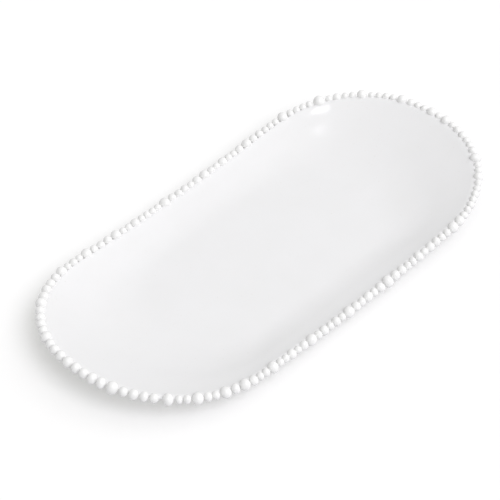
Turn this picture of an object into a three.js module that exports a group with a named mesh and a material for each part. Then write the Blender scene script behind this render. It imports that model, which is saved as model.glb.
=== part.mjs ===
import * as THREE from "three";

// An oval serving platter: a shallow boat-shaped dish on a foot ring, its rim set with beads of several sizes.
// Millimetres, +Z up. X runs along the length, and the foot stands on Z = 0 below the middle of the dish.

// Rim of the dish, over the outside of its lip
const RIM_LENGTH = 465.2;
const RIM_WIDTH = 218.6;
const RIM_STRAIGHT = 252; // from the start of one end's curve to the start of the other's
const SIDE_BOW = 4.7; // how far each long side would draw in by the ends of the platter
const OVAL_POWER = 2.18; // 2 makes each end half an ellipse, and a larger power a fuller end
const SIDE_HEIGHT = 11.2; // middle of the lip, halfway along a long side
const END_HEIGHT = 27.2; // middle of the lip, at the ends
const SWEEP_POWER = 2; // how soon the rim begins to sweep up to its ends

// Floor and wall of the dish
const FLOOR_LENGTH = 250;
const FLOOR_WIDTH = 128;
const FLOOR_STRAIGHT = 122;
const WALL_THICKNESS = 4;
const WALL_BEND = 0.6; // share of the wall's run that bends up from the floor, before a straight slope

// Foot ring under the floor
const FOOT_INSET = 8; // from the floor's edge to the outside of the foot
const FOOT_HEIGHT = 2;
const FOOT_TOP_WIDTH = 8;
const FOOT_SOLE_WIDTH = 5;

// Beads round the rim
const SMALL_BEAD = 6.7;
const MEDIUM_BEAD = 8;
const FULL_BEAD = 8.9;
const LARGE_BEAD = 10.3;
const GREAT_BEAD = 11.8;
const BEAD_SINK = 1.4; // how far a medium bead is pressed on to the lip
const FIRST_BEAD = -100; // from the middle of the -X end to the first bead, along the line of beads
const BARE_LIP = 2.2; // the one place where the lip shows between two beads

// Clearances
const BEAD_GAP = 0.3; // between a bead and the lip, and between a large bead and its neighbours
const FOOT_GAP = 0.2; // between the foot and the floor

// How finely the curves are drawn
const OUTLINE_STEPS = 1440;
const DISH_STATIONS = 96;
const WALL_STEPS = 5;
const LIP_STEPS = 4;
const FOOT_STATIONS = 64;
const RUN_SIDES = 8;
const RUN_RINGS = 4;
const LARGE_SIDES = 10;
const LARGE_RINGS = 5;

const BEAD_SIZE = { s: SMALL_BEAD, m: MEDIUM_BEAD, f: FULL_BEAD, L: LARGE_BEAD, G: GREAT_BEAD };
const BARE = "_";

// The beads in their order, anticlockwise from above: each large bead with the run of smaller beads after it
const STRANDS = [
  "Lffmm", "Lmff", "Lffff", "Gmfmm_", "Lss", "Lss", "Lm", "Lmss", "Lssmsm", "Lsmsms", "Lmsfsf", "Lfmssfsmmss",
  "Lfsssssssfss", "Lmssmms", "Ls", "Lssm", "Lssss", "Lssms", "Gssss", "Lsssmm", "Lmssfss", "Lfsmmm", "Lssssfss",
  "Lfmm", "Lsms", "Lffff",
];

const LIP_RADIUS = WALL_THICKNESS / 2;
const FLOOR_MIDDLE = FOOT_HEIGHT + FOOT_GAP + WALL_THICKNESS / 2;
// From the middle of the lip to the line through the beads' centres, in line with the wall
const BEAD_REACH = LIP_RADIUS + MEDIUM_BEAD / 2 - BEAD_SINK;

const rimOval = { length: RIM_LENGTH, width: RIM_WIDTH, straight: RIM_STRAIGHT, bow: SIDE_BOW };
const floorOval = { length: FLOOR_LENGTH, width: FLOOR_WIDTH, straight: FLOOR_STRAIGHT, bow: 0 };

function glaze(color, roughness) {
  return new THREE.MeshStandardMaterial({ color, roughness, metalness: 0 });
}

function signedPower(value, power) {
  return Math.sign(value) * Math.abs(value) ** power;
}

// Half the width that an oval's long sides allow at a place along it
function sideReach(oval, x) {
  return oval.width / 2 - oval.bow * ((2 * x) / oval.length) ** 2;
}

// A point of an oval, from how far it is along the side, round the end and across
function ovalPoint(oval, along, end, across) {
  const x = (along * oval.straight) / 2 + (end * (oval.length - oval.straight)) / 2;
  return new THREE.Vector2(x, across * sideReach(oval, x));
}

// The point of one oval that corresponds to a point of another
function onOval(point, from, to) {
  const straight = from.straight / 2;
  const along = THREE.MathUtils.clamp(point.x / straight, -1, 1);
  const end = (point.x - along * straight) / (from.length / 2 - straight);
  return ovalPoint(to, along, end, point.y / sideReach(from, point.x));
}

// An oval inset by the same amount all round
function insetOval(oval, inset) {
  return { ...oval, length: oval.length - 2 * inset, width: oval.width - 2 * inset };
}

// A closed line that can be asked for the point and the outward direction at a distance along it
function closedLine(points) {
  const lengths = [0];
  points.forEach((point, i) => {
    lengths.push(lengths[i] + point.distanceTo(points[(i + 1) % points.length]));
  });
  const total = lengths[points.length];
  // How many of the line's points have been passed
  const passed = (distance) => {
    const d = THREE.MathUtils.euclideanModulo(distance, total);
    const next = lengths.findIndex((length) => length > d);
    return next - 1 + (d - lengths[next - 1]) / (lengths[next] - lengths[next - 1]);
  };
  const at = (distance) => {
    const place = passed(distance);
    const from = Math.floor(place);
    return points[from].clone().lerp(points[(from + 1) % points.length], place - from);
  };
  const step = total / points.length;
  const outward = (distance) => {
    const along = at(distance + step).sub(at(distance - step)).normalize();
    return new THREE.Vector2(along.y, -along.x);
  };
  return { total, at, outward, passed };
}

// The oval as a closed line, anticlockwise from the middle of its -X end
function ovalLine(oval) {
  const points = [];
  for (let i = 0; i < OUTLINE_STEPS; i += 1) {
    const turn = Math.PI + (2 * Math.PI * (i + 0.5)) / OUTLINE_STEPS;
    const end = signedPower(Math.cos(turn), 2 / OVAL_POWER);
    const across = signedPower(Math.sin(turn), 2 / OVAL_POWER);
    points.push(ovalPoint(oval, Math.sign(end), end, across));
  }
  return closedLine(points);
}

// Height of the middle of the lip, which sweeps up from the sides to the ends
function lipHeight(x) {
  const share = Math.abs(x) / (RIM_LENGTH / 2);
  return SIDE_HEIGHT + (END_HEIGHT - SIDE_HEIGHT) * share ** SWEEP_POWER;
}

// A closed surface through rings of equally many points, ending in a point or joined back to its first ring
function skin(rings, firstPole, lastPole) {
  const count = rings[0].length;
  const points = rings.flat();
  const faces = [];
  const bands = firstPole ? rings.length - 1 : rings.length;
  for (let r = 0; r < bands; r += 1) {
    const low = r * count;
    const high = ((r + 1) % rings.length) * count;
    for (let i = 0; i < count; i += 1) {
      const j = (i + 1) % count;
      faces.push(low + i, low + j, high + j, low + i, high + j, high + i);
    }
  }
  if (firstPole) {
    const first = points.push(firstPole) - 1;
    const last = points.push(lastPole) - 1;
    const top = (rings.length - 1) * count;
    for (let i = 0; i < count; i += 1) {
      const j = (i + 1) % count;
      faces.push(first, j, i, last, top + i, top + j);
    }
  }
  const geometry = new THREE.BufferGeometry().setFromPoints(points);
  geometry.setIndex(faces);
  geometry.computeVertexNormals();
  return geometry;
}

const rim = ovalLine(rimOval);

// The dish at a distance along its rim: the middle of the lip, the floor's edge, and the wall between them
function wallAt(distance) {
  const edge = rim.at(distance);
  const lip = edge.clone().addScaledVector(rim.outward(distance), -LIP_RADIUS);
  const base = onOval(edge, rimOval, floorOval);
  const way = lip.clone().sub(base);
  const run = way.length();
  return { lip, base, run, way: way.normalize(), rise: lipHeight(edge.x) - FLOOR_MIDDLE };
}

// How far the wall has risen, and its slope, where share runs from 0 at the floor's edge to 1 at the lip
function wallRise({ rise }, share) {
  const risen = share < WALL_BEND ? share ** 2 / (2 * WALL_BEND) : share - WALL_BEND / 2;
  return (rise * risen) / (1 - WALL_BEND / 2);
}

function wallSlope({ run, rise }, share) {
  const steepest = rise / (run * (1 - WALL_BEND / 2));
  return Math.atan(steepest * Math.min(1, share / WALL_BEND));
}

// Rings of the dish, from the middle of its underside out over the lip and back in to the middle of the floor
function dishGeometry() {
  const rings = [];
  const walls = [];
  for (let i = 0; i < DISH_STATIONS; i += 1) walls.push(wallAt((rim.total * i) / DISH_STATIONS));
  // turn runs from 0 on the upper face to PI on the lower
  const ring = (share, turn) => walls.map((wall) => {
    const lean = turn - wallSlope(wall, share);
    const flat = wall.base.clone().addScaledVector(wall.way, wall.run * share + LIP_RADIUS * Math.sin(lean));
    const height = FLOOR_MIDDLE + wallRise(wall, share) + LIP_RADIUS * Math.cos(lean);
    return new THREE.Vector3(flat.x, flat.y, height);
  });
  for (let i = 0; i < WALL_STEPS; i += 1) rings.push(ring(i / WALL_STEPS, Math.PI));
  for (let i = 0; i <= LIP_STEPS; i += 1) rings.push(ring(1, Math.PI * (1 - i / LIP_STEPS)));
  for (let i = WALL_STEPS - 1; i >= 0; i -= 1) rings.push(ring(i / WALL_STEPS, 0));
  const underside = new THREE.Vector3(0, 0, FLOOR_MIDDLE - LIP_RADIUS);
  const floor = new THREE.Vector3(0, 0, FLOOR_MIDDLE + LIP_RADIUS);
  return skin(rings, underside, floor);
}

// The foot is a ring of four-cornered section, narrower at its sole
function footGeometry() {
  const outside = insetOval(floorOval, FOOT_INSET);
  const batter = (FOOT_TOP_WIDTH - FOOT_SOLE_WIDTH) / 2;
  const ring = (inset, height) => {
    const line = ovalLine(outside);
    const points = [];
    for (let i = 0; i < FOOT_STATIONS; i += 1) {
      const distance = (line.total * i) / FOOT_STATIONS;
      const point = line.at(distance).addScaledVector(line.outward(distance), -inset);
      points.push(new THREE.Vector3(point.x, point.y, height));
    }
    return points;
  };
  return skin([
    ring(batter, 0),
    ring(0, FOOT_HEIGHT),
    ring(FOOT_TOP_WIDTH, FOOT_HEIGHT),
    ring(FOOT_TOP_WIDTH - batter, 0),
  ]);
}

// A point near the lip: so far out from its middle in line with the wall, and so far above that line
function nearLip(distance, out, up) {
  const wall = wallAt(distance);
  const slope = wallSlope(wall, 1);
  const sideways = out * Math.cos(slope) - up * Math.sin(slope);
  const flat = wall.lip.addScaledVector(rim.outward(distance), sideways);
  const height = FLOOR_MIDDLE + wall.rise + out * Math.sin(slope) + up * Math.cos(slope);
  return new THREE.Vector3(flat.x, flat.y, height);
}

// The line through the beads' centres, in plan
function beadLine() {
  const points = [];
  for (let i = 0; i < OUTLINE_STEPS; i += 1) {
    const point = nearLip((rim.total * i) / OUTLINE_STEPS, BEAD_REACH, 0);
    points.push(new THREE.Vector2(point.x, point.y));
  }
  return closedLine(points);
}

const beads = beadLine();

// Each bead's place along the line: the beads share its length in proportion to their sizes
function placedStrands() {
  const letters = STRANDS.join("");
  const bare = [...letters].filter((letter) => letter === BARE).length * BARE_LIP;
  const sizes = [...letters].filter((letter) => letter !== BARE).map((letter) => BEAD_SIZE[letter]);
  const pitch = (beads.total - bare) / sizes.reduce((sum, size) => sum + size, 0);
  let end = FIRST_BEAD - (pitch * sizes[0]) / 2;
  return STRANDS.map((strand) => {
    const placed = [];
    for (const letter of strand) {
      if (letter === BARE) {
        end += BARE_LIP;
      } else {
        const length = BEAD_SIZE[letter] * pitch;
        const half = Math.min(BEAD_SIZE[letter], length - BEAD_GAP) / 2;
        placed.push({ radius: BEAD_SIZE[letter] / 2, centre: end + length / 2, half });
        end += length;
      }
    }
    return placed;
  });
}

// The distance along the rim at a distance along the line of beads
function besideRim(distance) {
  return (beads.passed(distance) * rim.total) / OUTLINE_STEPS;
}

// Round rings about the line of beads, flat where they are pressed on to the lip
function beadGeometry(run, sides, ringsPerBead) {
  const seat = LIP_RADIUS + BEAD_GAP;
  const rings = [];
  for (const { radius, centre, half } of run) {
    for (let r = 1; r <= ringsPerBead; r += 1) {
      const turn = (Math.PI * r) / (ringsPerBead + 1);
      const distance = besideRim(centre - half * Math.cos(turn));
      const ring = [];
      for (let i = 0; i < sides; i += 1) {
        const around = (-2 * Math.PI * (i + 0.5)) / sides;
        const out = BEAD_REACH + radius * Math.sin(turn) * Math.cos(around);
        const up = radius * Math.sin(turn) * Math.sin(around);
        ring.push(nearLip(distance, Math.max(out, seat), up));
      }
      rings.push(ring);
    }
  }
  const pole = ({ centre, half }, sign) => nearLip(besideRim(centre + sign * half), BEAD_REACH, 0);
  return skin(rings, pole(run[0], -1), pole(run[run.length - 1], 1));
}

const platter = new THREE.Group();

function addPiece(name, geometry, material) {
  const mesh = new THREE.Mesh(geometry, material);
  mesh.name = name;
  platter.add(mesh);
}

addPiece("platter_body", dishGeometry(), glaze(0xf1f1f2, 0.3));
addPiece("foot_ring", footGeometry(), glaze(0xe9e7e2, 0.6));
placedStrands().forEach(([large, ...run], i) => {
  const number = String(i + 1).padStart(2, "0");
  addPiece(`large_bead_${number}`, beadGeometry([large], LARGE_SIDES, LARGE_RINGS), glaze(0xf3f3f3, 0.35));
  addPiece(`bead_run_${number}`, beadGeometry(run, RUN_SIDES, RUN_RINGS), glaze(0xf3f3f3, 0.35));
});

export default platter;
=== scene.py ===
"""A white oval serving platter with a beaded rim, on a plain white table."""

import math

import bpy
import numpy as np
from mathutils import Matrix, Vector, noise


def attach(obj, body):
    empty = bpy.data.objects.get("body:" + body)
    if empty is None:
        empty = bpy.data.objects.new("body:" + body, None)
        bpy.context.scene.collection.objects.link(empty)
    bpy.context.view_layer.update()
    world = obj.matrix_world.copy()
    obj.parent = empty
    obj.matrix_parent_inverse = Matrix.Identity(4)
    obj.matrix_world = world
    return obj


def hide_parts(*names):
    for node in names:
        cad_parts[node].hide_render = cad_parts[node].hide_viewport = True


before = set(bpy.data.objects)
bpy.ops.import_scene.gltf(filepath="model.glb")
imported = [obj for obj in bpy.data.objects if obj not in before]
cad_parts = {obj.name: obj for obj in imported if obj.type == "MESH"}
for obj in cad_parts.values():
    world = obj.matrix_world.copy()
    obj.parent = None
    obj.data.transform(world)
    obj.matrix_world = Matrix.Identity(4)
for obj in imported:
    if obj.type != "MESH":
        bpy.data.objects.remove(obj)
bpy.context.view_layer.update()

MM = 0.001

# Rim of the dish, over the outside of its lip
RIM_LENGTH = 465.2 * MM
RIM_WIDTH = 218.6 * MM
RIM_STRAIGHT = 252 * MM
SIDE_BOW = 4.7 * MM
OVAL_POWER = 2.18
SIDE_HEIGHT = 11.2 * MM
END_HEIGHT = 27.2 * MM
SWEEP_POWER = 2

# Floor and wall of the dish
FLOOR_LENGTH = 250 * MM
FLOOR_WIDTH = 128 * MM
FLOOR_STRAIGHT = 122 * MM
WALL_THICKNESS = 4 * MM
WALL_BEND = 0.6

# The upper face curls up a little more just below the lip, over the last share of the wall
LIP_CURL = 0.6 * MM
CURL_START = 0.78

# Glaze that ran off the lip and filled the notches between the beads on their inner side
GLAZE_POOL = 1.4 * MM

# Swells that the hand left in the floor and wall: length, width, depth, and where the pattern of each starts
HAND_SWELLS = [
    (130 * MM, 34 * MM, 0.22 * MM, 3.1),
    (70 * MM, 60 * MM, 0.12 * MM, 5.4),
    (20 * MM, 16 * MM, 0.025 * MM, 8.7),
]
# The lip is even, and the swells grow to their full depth over this share of the wall below it
SWELL_GROWTH = 1 / 3

# Foot ring
FOOT_INSET = 8 * MM
FOOT_HEIGHT = 2 * MM
FOOT_TOP_WIDTH = 8 * MM
FOOT_SOLE_WIDTH = 5 * MM
FOOT_GAP = 0.2 * MM
# The sole's edges are rounded. The curve's points are shares of its size, in from the sole's corner and up
SOLE_ROUND = 0.6 * MM
SOLE_CURVE = [(1, 0), (0.2, 0.2), (-0.1, 1)]

# Beads as they are rolled: small, medium, full, large and great
BEAD_SIZE = {"s": 6.7 * MM, "m": 8 * MM, "f": 8.9 * MM, "L": 10.3 * MM, "G": 11.8 * MM}
# How far they are sunk into the lip, where the first one lies along it, and the one bare stretch of lip
BEAD_SINK = 1.4 * MM
FIRST_BEAD = -100 * MM
BARE_LIP = 2.2 * MM
BARE = "_"
# The beads in their order, anticlockwise from above: each large bead with the run of smaller beads after it
STRANDS = [
    "Lffmm", "Lmff", "Lffff", "Gmfmm_", "Lss", "Lss", "Lm", "Lmss", "Lssmsm", "Lsmsms", "Lmsfsf",
    "Lfmssfsmmss", "Lfsssssssfss", "Lmssmms", "Ls", "Lssm", "Lssss", "Lssms", "Gssss", "Lsssmm",
    "Lmssfss", "Lfsmmm", "Lssssfss", "Lfmm", "Lsms", "Lffff",
]

# Pressed on to the lip, a bead of soft clay spreads and stands up, a small one more than a large one.
# Each half size, along the rim, outward and up, is a share of the rolled radius and a swell
BEAD_SHARES = np.array([0.85, 0.8, 0.8])
BEAD_SWELLS = np.array([0.6, 1.1, 1.3]) * MM
BEAD_RAISED = 0.9 * MM
# No two beads are alike: how far their half sizes stray, how far they lean, and the draw they come from
BEAD_STRAY = 0.035
BEAD_LEAN = 0.05
BEAD_DRAW = 12

# How finely the curves are drawn
OUTLINE_STEPS = 2880
DISH_STATIONS = 384
FLOOR_STEPS = 22
WALL_STEPS = 26
LIP_STEPS = 14
FOOT_STATIONS = 256
BEAD_SIDES = 28
BEAD_RINGS = 17

LIP_RADIUS = WALL_THICKNESS / 2
FLOOR_MIDDLE = FOOT_HEIGHT + FOOT_GAP + WALL_THICKNESS / 2
# From the middle of the lip to the line through the beads' centres, in line with the wall
BEAD_REACH = LIP_RADIUS + BEAD_SIZE["m"] / 2 - BEAD_SINK

# Each oval is its length, its width, its straight stretch and the bow of its long sides
RIM_OVAL = (RIM_LENGTH, RIM_WIDTH, RIM_STRAIGHT, SIDE_BOW)
FLOOR_OVAL = (FLOOR_LENGTH, FLOOR_WIDTH, FLOOR_STRAIGHT, 0)


class ClosedLine:
    """A closed line in plan that gives the point and the outward direction at any distance along it."""

    def __init__(self, points):
        self.points = np.vstack([points, points[:1]])
        steps = np.linalg.norm(np.diff(self.points, axis=0), axis=1)
        self.lengths = np.concatenate([[0], np.cumsum(steps)])
        self.total = self.lengths[-1]
        self.step = self.total / len(points)

    def at(self, distance):
        d = np.mod(distance, self.total)
        return np.stack([np.interp(d, self.lengths, self.points[:, k]) for k in (0, 1)], axis=-1)

    def passed(self, distance):
        """What share of the line's points lie before a distance along it."""
        shares = np.linspace(0, 1, len(self.points))
        return np.interp(np.mod(distance, self.total), self.lengths, shares)

    def outward(self, distance):
        along = self.at(np.add(distance, self.step)) - self.at(np.subtract(distance, self.step))
        along /= np.linalg.norm(along, axis=-1, keepdims=True)
        return np.stack([along[..., 1], -along[..., 0]], axis=-1)

    def stations(self, count):
        """Distances that part the line evenly."""
        return np.arange(count) / count * self.total


def side_reach(oval, x):
    """Half the width that an oval's long sides allow at a place along it."""
    length, width, straight, bow = oval
    return width / 2 - bow * (2 * x / length) ** 2


def oval_point(oval, along, end, across):
    """Points of an oval, from how far they are along the side, round the end and across."""
    length, width, straight, bow = oval
    x = along * straight / 2 + end * (length - straight) / 2
    return np.stack([x, across * side_reach(oval, x)], axis=-1)


def on_oval(points, start, goal):
    """The points of one oval that correspond to points of another."""
    length, width, straight, bow = start
    x, y = points[..., 0], points[..., 1]
    along = np.clip(x / (straight / 2), -1, 1)
    end = (x - along * straight / 2) / ((length - straight) / 2)
    return oval_point(goal, along, end, y / side_reach(start, x))


def oval_line(oval):
    """The oval as a closed line, anticlockwise from the middle of its left end."""
    turn = math.pi + 2 * math.pi * (np.arange(OUTLINE_STEPS) + 0.5) / OUTLINE_STEPS
    end = np.sign(np.cos(turn)) * np.abs(np.cos(turn)) ** (2 / OVAL_POWER)
    across = np.sign(np.sin(turn)) * np.abs(np.sin(turn)) ** (2 / OVAL_POWER)
    return ClosedLine(oval_point(oval, np.sign(end), end, across))


def lip_height(x):
    """Height of the middle of the lip, which sweeps up from the sides to the ends."""
    share = np.abs(x) / (RIM_LENGTH / 2)
    return SIDE_HEIGHT + (END_HEIGHT - SIDE_HEIGHT) * share ** SWEEP_POWER


rim = oval_line(RIM_OVAL)


class Wall:
    """The dish's wall at distances along the rim, from the floor's edge to the middle of the lip.

    A share of the wall is 0 at the floor's edge and 1 at the lip.
    """

    def __init__(self, distance):
        edge = rim.at(distance)
        self.outward = rim.outward(distance)
        self.lip = edge - LIP_RADIUS * self.outward
        self.base = on_oval(edge, RIM_OVAL, FLOOR_OVAL)
        way = self.lip - self.base
        self.run = np.linalg.norm(way, axis=-1)
        self.way = way / self.run[..., None]
        self.rise = lip_height(edge[..., 0]) - FLOOR_MIDDLE

    def risen(self, share):
        """How far the wall has risen, in a bend and then a straight slope."""
        risen = share ** 2 / (2 * WALL_BEND) if share < WALL_BEND else share - WALL_BEND / 2
        return self.rise * risen / (1 - WALL_BEND / 2)

    def slope(self, share):
        steepest = self.rise / (self.run * (1 - WALL_BEND / 2))
        return np.arctan(steepest * min(1, share / WALL_BEND))

    def near_lip(self, out, up):
        """Points so far out from the middle of the lip in line with the wall, and so far above that line."""
        slope = self.slope(1)
        sideways = out * np.cos(slope) - up * np.sin(slope)
        flat = self.lip + self.outward * sideways[..., None]
        height = FLOOR_MIDDLE + self.rise + out * np.sin(slope) + up * np.cos(slope)
        return np.concatenate([flat, height[..., None]], axis=-1)


bead_line = Wall(rim.stations(OUTLINE_STEPS)).near_lip(BEAD_REACH, 0.0)
beads = ClosedLine(bead_line[:, :2])


def make_piece(name, points, faces, material, node):
    mesh = bpy.data.meshes.new(name)
    mesh.from_pydata([tuple(p) for p in points], [], faces)
    mesh.shade_smooth()
    mesh.validate()
    piece = bpy.data.objects.new(name, mesh)
    bpy.context.scene.collection.objects.link(piece)
    mesh.materials.append(material)
    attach(piece, "root")
    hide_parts(node)


def level_ring(flat, height):
    """Points in plan, all set at one height."""
    return np.column_stack([flat, np.full(len(flat), height)])


def ring_faces(ring_count, count, joined=False):
    """Four-sided faces between rings of equally many points."""
    faces = []
    for r in range(ring_count if joined else ring_count - 1):
        low, high = r * count, (r + 1) % ring_count * count
        for i in range(count):
            j = (i + 1) % count
            faces.append((low + i, low + j, high + j, high + i))
    return faces


def hand_uneven(x, y):
    """The slight unevenness of a floor and wall shaped by hand, mostly drawn out along the dish."""
    uneven = 0
    for length, width, depth, start in HAND_SWELLS:
        uneven += depth * noise.noise(Vector((x / length, y / width, start)))
    return uneven


def wall_ring(wall, share, turn):
    """Points round the wall. turn runs over the lip, from half a circle underneath to 0 on the upper face."""
    lean = turn - wall.slope(share)
    pool = GLAZE_POOL * math.sin(turn) * (1 + math.cos(turn))
    flat = wall.base + wall.way * (wall.run * share + LIP_RADIUS * np.sin(lean) + pool)[:, None]
    curled = max(0, (share - CURL_START) / (1 - CURL_START)) ** 2
    curl = LIP_CURL * curled * (1 + math.cos(turn)) / 2
    height = FLOOR_MIDDLE + wall.risen(share) + LIP_RADIUS * np.cos(lean) + curl
    return np.column_stack([flat, height])


def make_dish(material):
    """Rings from the middle of the underside out over the lip and back in to the middle of the floor."""
    wall = Wall(rim.stations(DISH_STATIONS))
    floor_shares = (np.arange(FLOOR_STEPS) + 0.5) / FLOOR_STEPS
    wall_shares = np.arange(WALL_STEPS) / WALL_STEPS
    lip_turns = math.pi * (1 - np.arange(LIP_STEPS + 1) / LIP_STEPS)
    rings = [level_ring(wall.base * share, FLOOR_MIDDLE - LIP_RADIUS) for share in floor_shares]
    rings += [wall_ring(wall, share, math.pi) for share in wall_shares]
    rings += [wall_ring(wall, 1, turn) for turn in lip_turns]
    rings += [wall_ring(wall, share, 0) for share in wall_shares[::-1]]
    rings += [level_ring(wall.base * share, FLOOR_MIDDLE + LIP_RADIUS) for share in floor_shares[::-1]]
    upper_start = FLOOR_STEPS + WALL_STEPS + LIP_STEPS
    for below_lip, upper_ring in enumerate(rings[upper_start:]):
        growth = min(1, below_lip / (WALL_STEPS * SWELL_GROWTH))
        for p in upper_ring:
            p[2] += growth * hand_uneven(p[0], p[1])
    points = np.vstack(rings)
    faces = ring_faces(len(rings), DISH_STATIONS)
    faces.append(tuple(range(DISH_STATIONS))[::-1])
    faces.append(tuple(range(len(points) - DISH_STATIONS, len(points))))
    make_piece("glazed_dish", points, faces, material, "platter_body")


def make_foot(material):
    """A ring that narrows to its sole, alike on its outer and inner side."""
    length, width, straight, bow = FLOOR_OVAL
    line = oval_line((length - 2 * FOOT_INSET, width - 2 * FOOT_INSET, straight, bow))
    stations = line.stations(FOOT_STATIONS)
    batter = (FOOT_TOP_WIDTH - FOOT_SOLE_WIDTH) / 2
    outer = [(batter + SOLE_ROUND * across, SOLE_ROUND * up) for across, up in SOLE_CURVE]
    outer.append((0, FOOT_HEIGHT))
    inner = [(FOOT_TOP_WIDTH - inset, height) for inset, height in reversed(outer)]
    rings = []
    for inset, height in outer + inner:
        rings.append(level_ring(line.at(stations) - inset * line.outward(stations), height))
    faces = ring_faces(len(rings), FOOT_STATIONS, joined=True)
    make_piece("trimmed_foot", np.vstack(rings), faces, material, "foot_ring")


def placed_strands():
    """Each strand's beads, as their rolled radius and their place: the beads share the rim by their sizes."""
    letters = "".join(STRANDS)
    bare = letters.count(BARE) * BARE_LIP
    sizes = [BEAD_SIZE[letter] for letter in letters if letter != BARE]
    pitch = (beads.total - bare) / sum(sizes)
    end = FIRST_BEAD - pitch * sizes[0] / 2
    strands = []
    for strand in STRANDS:
        placed = []
        for letter in strand:
            if letter == BARE:
                end += BARE_LIP
                continue
            length = BEAD_SIZE[letter] * pitch
            placed.append((BEAD_SIZE[letter] / 2, end + length / 2))
            end += length
        strands.append(placed)
    return strands


def rolled_ball():
    """A round ball of radius 1: rings along the rim's direction, and then its two ends."""
    turn = np.pi * np.arange(1, BEAD_RINGS)[:, None] / BEAD_RINGS
    around = 2 * np.pi * np.arange(BEAD_SIDES) / BEAD_SIDES
    along = -np.cos(turn) * np.ones(BEAD_SIDES)
    outward = np.sin(turn) * np.cos(around)
    up = np.sin(turn) * np.sin(around)
    rings = np.stack([along, outward, up], axis=-1).reshape(-1, 3)
    points = np.vstack([rings, [(-1, 0, 0), (1, 0, 0)]])
    faces = ring_faces(BEAD_RINGS - 1, BEAD_SIDES)
    first, last = len(rings), len(rings) + 1
    last_ring = len(rings) - BEAD_SIDES
    for i in range(BEAD_SIDES):
        j = (i + 1) % BEAD_SIDES
        faces.append((first, j, i))
        faces.append((last, last_ring + i, last_ring + j))
    return points, faces


ball_points, ball_faces = rolled_ball()


def pressed_bead(radius, place, rng):
    """The points of one bead, slightly out of round and leaning, pressed on to the lip."""
    beside = beads.passed(place) * rim.total
    wall = Wall(np.array([beside - MM, beside, beside + MM]))
    before, middle, after = wall.near_lip(BEAD_REACH, BEAD_RAISED)
    along = (after - before) / np.linalg.norm(after - before)
    slope = wall.slope(1)[1]
    outward = np.append(wall.outward[1] * np.cos(slope), np.sin(slope))
    outward -= along * outward.dot(along)
    outward /= np.linalg.norm(outward)
    up = np.cross(outward, along)
    half_sizes = (BEAD_SHARES * radius + BEAD_SWELLS) * rng.normal(1, BEAD_STRAY, 3)
    lean = rng.normal(0, BEAD_LEAN, 2)
    points = ball_points * half_sizes
    points[:, :2] += lean * points[:, 2:]
    return middle + points @ np.array([along, outward, up])


def make_beads(name, run, material, node, rng):
    points, faces = [], []
    for radius, place in run:
        start = len(points) * len(ball_points)
        points.append(pressed_bead(radius, place, rng))
        faces += [tuple(start + i for i in face) for face in ball_faces]
    make_piece(name, np.vstack(points), faces, material, node)


# The milky glaze: how many patches, pinholes, hazes and ripples lie to a metre, and how much duller haze is
GLAZE_PATCHES = 26
GLAZE_PINHOLES = 620
GLAZE_HAZES = 70
GLAZE_RIPPLES = 150
HAZE_DULLS = 0.07

# Bare clay: how many clouds, grains and pits lie to a metre, how deep the pits are and how dull the clay is
CLAY_CLOUDS = 60
CLAY_GRAINS = 900
CLAY_PITS = 1100
PIT_DEPTH = 0.15 * MM
CLAY_DULLNESS = 0.75
CLAY_DARK = (0.74, 0.71, 0.66)
CLAY_PALE = (0.82, 0.80, 0.76)
CLAY_GROG = (0.60, 0.56, 0.50)

# The range that most of a cloud lies in, and the high parts of it that are pinholes or grains
CLOUD_RANGE = (0.3, 0.7)
PINHOLE_RANGE = (0.74, 0.80)
GRAIN_RANGE = (0.62, 0.7)


def cloud(tree, coords, count, detail):
    """Soft blots, so many to a metre."""
    blots = tree.nodes.new("ShaderNodeTexNoise")
    blots.inputs["Scale"].default_value = count
    blots.inputs["Detail"].default_value = detail
    tree.links.new(coords, blots.inputs["Vector"])
    return blots.outputs["Fac"]


def spread(tree, value, limits, most=1):
    """A value drawn out from within its limits to a range from 0."""
    node = tree.nodes.new("ShaderNodeMapRange")
    low, high = limits
    for name, number in (("From Min", low), ("From Max", high), ("To Min", 0), ("To Max", most)):
        node.inputs[name].default_value = number
    tree.links.new(value, node.inputs["Value"])
    return node.outputs["Result"]


def reckon(tree, operation, *values):
    """Values put together, each of them a plain number or one that varies over the surface."""
    node = tree.nodes.new("ShaderNodeMath")
    node.operation = operation
    for socket, value in zip(node.inputs, values):
        if isinstance(value, bpy.types.NodeSocket):
            tree.links.new(value, socket)
        else:
            socket.default_value = value
    return node.outputs["Value"]


def blend(tree, amount, first, second):
    """Two colours mixed, each of them a plain tone or one that varies over the surface."""
    node = tree.nodes.new("ShaderNodeMix")
    node.data_type = "RGBA"
    tree.links.new(amount, node.inputs["Factor"])
    for socket, colour in ((node.inputs[6], first), (node.inputs[7], second)):
        if isinstance(colour, bpy.types.NodeSocket):
            tree.links.new(colour, socket)
        else:
            socket.default_value = (*colour, 1)
    return node.outputs[2]


def ripple_surface(tree, shader, height, depth):
    """Raise the surface by a height that varies over it."""
    bump = tree.nodes.new("ShaderNodeBump")
    bump.inputs["Strength"].default_value = 1
    bump.inputs["Distance"].default_value = depth
    tree.links.new(height, bump.inputs["Height"])
    tree.links.new(bump.outputs["Normal"], shader.inputs["Normal"])


def new_finish(name):
    material = bpy.data.materials.new(name)
    material.use_nodes = True
    tree = material.node_tree
    return material, tree, tree.nodes["Principled BSDF"]


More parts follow.
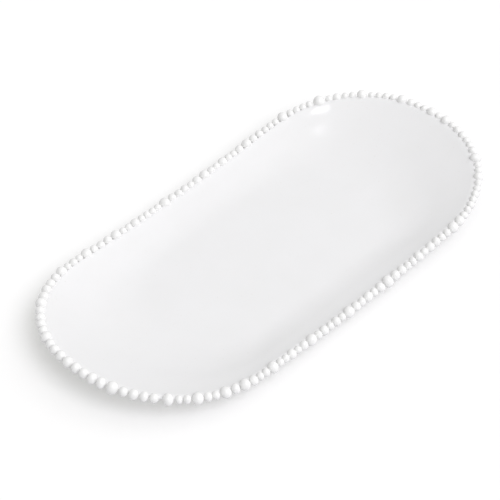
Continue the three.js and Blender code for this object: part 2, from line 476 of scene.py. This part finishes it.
def milky_glaze_group():
    """White glaze that lies thicker and thinner: its colour, its gloss and the ripple of its surface."""
    group = bpy.data.node_groups.new("milky_glaze", "ShaderNodeTree")
    group.interface.new_socket("Thick Glaze", in_out="INPUT", socket_type="NodeSocketColor")
    group.interface.new_socket("Thin Glaze", in_out="INPUT", socket_type="NodeSocketColor")
    group.interface.new_socket("Speck", in_out="INPUT", socket_type="NodeSocketColor")
    group.interface.new_socket("Smoothest", in_out="INPUT", socket_type="NodeSocketFloat")
    group.interface.new_socket("Color", in_out="OUTPUT", socket_type="NodeSocketColor")
    group.interface.new_socket("Roughness", in_out="OUTPUT", socket_type="NodeSocketFloat")
    group.interface.new_socket("Ripple", in_out="OUTPUT", socket_type="NodeSocketFloat")
    given = group.nodes.new("NodeGroupInput")
    result = group.nodes.new("NodeGroupOutput")
    coords = group.nodes.new("ShaderNodeTexCoord").outputs["Object"]
    thickness = spread(group, cloud(group, coords, GLAZE_PATCHES, detail=3), CLOUD_RANGE)
    colour = blend(group, thickness, given.outputs["Thin Glaze"], given.outputs["Thick Glaze"])
    pinholes = spread(group, cloud(group, coords, GLAZE_PINHOLES, detail=1), PINHOLE_RANGE)
    colour = blend(group, pinholes, colour, given.outputs["Speck"])
    haze = spread(group, cloud(group, coords, GLAZE_HAZES, detail=2), CLOUD_RANGE, HAZE_DULLS)
    dullness = reckon(group, "ADD", given.outputs["Smoothest"], haze)
    group.links.new(colour, result.inputs["Color"])
    group.links.new(dullness, result.inputs["Roughness"])
    group.links.new(cloud(group, coords, GLAZE_RIPPLES, detail=1), result.inputs["Ripple"])
    return group


def glaze(name, group, thick, thin, speck, smoothest, ripple):
    """A glazed finish. ripple is the height of the glaze's ripples."""
    material, tree, shader = new_finish(name)
    coat = tree.nodes.new("ShaderNodeGroup")
    coat.node_tree = group
    for socket, colour in (("Thick Glaze", thick), ("Thin Glaze", thin), ("Speck", speck)):
        coat.inputs[socket].default_value = (*colour, 1)
    coat.inputs["Smoothest"].default_value = smoothest
    tree.links.new(coat.outputs["Color"], shader.inputs["Base Color"])
    tree.links.new(coat.outputs["Roughness"], shader.inputs["Roughness"])
    ripple_surface(tree, shader, coat.outputs["Ripple"], ripple)
    return material


def biscuit_clay(name):
    """Bare fired clay: grains of sand and grog in a pale body."""
    material, tree, shader = new_finish(name)
    shader.inputs["Roughness"].default_value = CLAY_DULLNESS
    coords = tree.nodes.new("ShaderNodeTexCoord").outputs["Object"]
    body = blend(tree, cloud(tree, coords, CLAY_CLOUDS, detail=3), CLAY_DARK, CLAY_PALE)
    grains = spread(tree, cloud(tree, coords, CLAY_GRAINS, detail=2), GRAIN_RANGE)
    tree.links.new(blend(tree, grains, body, CLAY_GROG), shader.inputs["Base Color"])
    ripple_surface(tree, shader, cloud(tree, coords, CLAY_PITS, detail=2), PIT_DEPTH)
    return material


milky_glaze = milky_glaze_group()
body_glaze = glaze(
    "body_glaze", milky_glaze,
    thick=(0.885, 0.885, 0.892), thin=(0.872, 0.872, 0.876), speck=(0.80, 0.79, 0.77),
    smoothest=0.06, ripple=0.03 * MM,
)
bead_glaze = glaze(
    "bead_glaze", milky_glaze,
    thick=(0.935, 0.935, 0.93), thin=(0.91, 0.91, 0.904), speck=(0.84, 0.83, 0.81),
    smoothest=0.12, ripple=0.12 * MM,
)
foot_biscuit = biscuit_clay("foot_biscuit")

make_dish(body_glaze)
make_foot(foot_biscuit)
rng = np.random.default_rng(BEAD_DRAW)
for number, (large, *run) in enumerate(placed_strands(), 1):
    make_beads(f"large_rolled_bead_{number:02d}", [large], bead_glaze, f"large_bead_{number:02d}", rng)
    make_beads(f"rolled_bead_run_{number:02d}", run, bead_glaze, f"bead_run_{number:02d}", rng)


# The table is far wider than the picture, and lies just under the foot
TABLE_HALF = 40.0
TABLE_TOP = -0.05 * MM
TABLE_GRAINS = 300
TABLE_DARK = (0.688, 0.688, 0.705)
TABLE_PALE = (0.692, 0.692, 0.709)
TABLE_DULLNESS = 0.9
# How much the table is lifted towards white where it is seen, and in what tone
TABLE_LIFT = 0.338
TABLE_LIFT_TONE = (1, 0.998, 0.945, 1)


def table_white():
    material, tree, shader = new_finish("table_white")
    coords = tree.nodes.new("ShaderNodeTexCoord").outputs["Object"]
    paper = blend(tree, cloud(tree, coords, TABLE_GRAINS, detail=2), TABLE_DARK, TABLE_PALE)
    tree.links.new(paper, shader.inputs["Base Color"])
    shader.inputs["Roughness"].default_value = TABLE_DULLNESS
    shader.inputs["Specular IOR Level"].default_value = 0
    path = tree.nodes.new("ShaderNodeLightPath").outputs
    seen = reckon(tree, "MAXIMUM", path["Is Camera Ray"], path["Is Glossy Ray"])
    seen = reckon(tree, "MAXIMUM", seen, path["Is Transmission Ray"])
    lift = reckon(tree, "MULTIPLY", seen, TABLE_LIFT)
    shader.inputs["Emission Color"].default_value = TABLE_LIFT_TONE
    tree.links.new(lift, shader.inputs["Emission Strength"])
    return material


def make_table():
    mesh = bpy.data.meshes.new("table")
    half, low = TABLE_HALF, TABLE_TOP
    corners = [(-half, -half, low), (half, -half, low), (half, half, low), (-half, half, low)]
    mesh.from_pydata(corners, [], [(0, 1, 2, 3)])
    table = bpy.data.objects.new("table", mesh)
    bpy.context.scene.collection.objects.link(table)
    mesh.materials.append(table_white())


make_table()

# The camera stands off the near left end, and looks down into the dish
CAMERA_TURN = math.radians(47.699)
CAMERA_ELEVATION = math.radians(41.768)
CAMERA_DISTANCE = 2.35
AIM_HEIGHT = float(bead_line[:, 2].min())
FOCAL_PIXELS = 2609.5
IMAGE_PIXELS = 500
IMAGE_CENTRE = (265.84, 248.95)
SENSOR_WIDTH = 36


def towards(turn, elevation):
    """A direction from the platter. turn is measured from the camera's side, anticlockwise from above."""
    a = -math.pi / 2 - CAMERA_TURN + math.radians(turn)
    e = math.radians(elevation)
    return Vector((math.cos(a) * math.cos(e), math.sin(a) * math.cos(e), math.sin(e)))


def set_camera():
    back = Vector((-math.sin(CAMERA_TURN) * math.cos(CAMERA_ELEVATION),
                   -math.cos(CAMERA_TURN) * math.cos(CAMERA_ELEVATION),
                   math.sin(CAMERA_ELEVATION)))
    lens = bpy.data.cameras.new("camera")
    lens.sensor_width = SENSOR_WIDTH
    lens.lens = SENSOR_WIDTH * FOCAL_PIXELS / IMAGE_PIXELS
    lens.shift_x = -(IMAGE_CENTRE[0] - IMAGE_PIXELS / 2) / IMAGE_PIXELS
    lens.shift_y = (IMAGE_CENTRE[1] - IMAGE_PIXELS / 2) / IMAGE_PIXELS
    camera = bpy.data.objects.new("camera", lens)
    camera.location = Vector((0, 0, AIM_HEIGHT)) + back * CAMERA_DISTANCE
    camera.rotation_euler = back.to_track_quat("Z", "Y").to_euler()
    bpy.context.scene.collection.objects.link(camera)
    bpy.context.scene.camera = camera


set_camera()

WINDOW_TINT = (0.985, 0.975, 1)


def soft_light(name, turn, elevation, width, strength):
    """Even light from a round window far off, so many degrees across."""
    lamp = bpy.data.lights.new(name, "SUN")
    lamp.angle = math.radians(width)
    lamp.energy = strength
    lamp.color = WINDOW_TINT
    holder = bpy.data.objects.new(name, lamp)
    holder.rotation_euler = towards(turn, elevation).to_track_quat("Z", "Y").to_euler()
    bpy.context.scene.collection.objects.link(holder)


soft_light("window", turn=42, elevation=51, width=40, strength=1.36)
soft_light("side_window", turn=105, elevation=42, width=40, strength=0.24)
# Two small panes behind the platter, which the glaze mirrors as the bright spot under the far great bead
soft_light("left_pane", turn=169.3, elevation=73, width=1.3, strength=0.012)
soft_light("right_pane", turn=176.3, elevation=73.6, width=1.2, strength=0.01)

# The room is a little brighter to the right of the picture than to the left
ROOM_LEVEL = 0.615
ROOM_SLANT = 0.16
ROOM_TURN = 105
ROOM_TINT = (1, 1, 0.99, 1)


def light_room():
    world = bpy.data.worlds.new("studio")
    world.use_nodes = True
    tree = world.node_tree
    room = tree.nodes["Background"]
    room.inputs["Color"].default_value = ROOM_TINT
    side = tree.nodes.new("ShaderNodeVectorMath")
    side.operation = "DOT_PRODUCT"
    side.inputs[1].default_value = towards(ROOM_TURN, 0)
    tree.links.new(tree.nodes.new("ShaderNodeTexCoord").outputs["Generated"], side.inputs[0])
    level = reckon(tree, "MULTIPLY_ADD", side.outputs["Value"], ROOM_SLANT, ROOM_LEVEL)
    tree.links.new(level, room.inputs["Strength"])
    bpy.context.scene.world = world


light_room()
bpy.context.scene.view_settings.view_transform = "Standard"
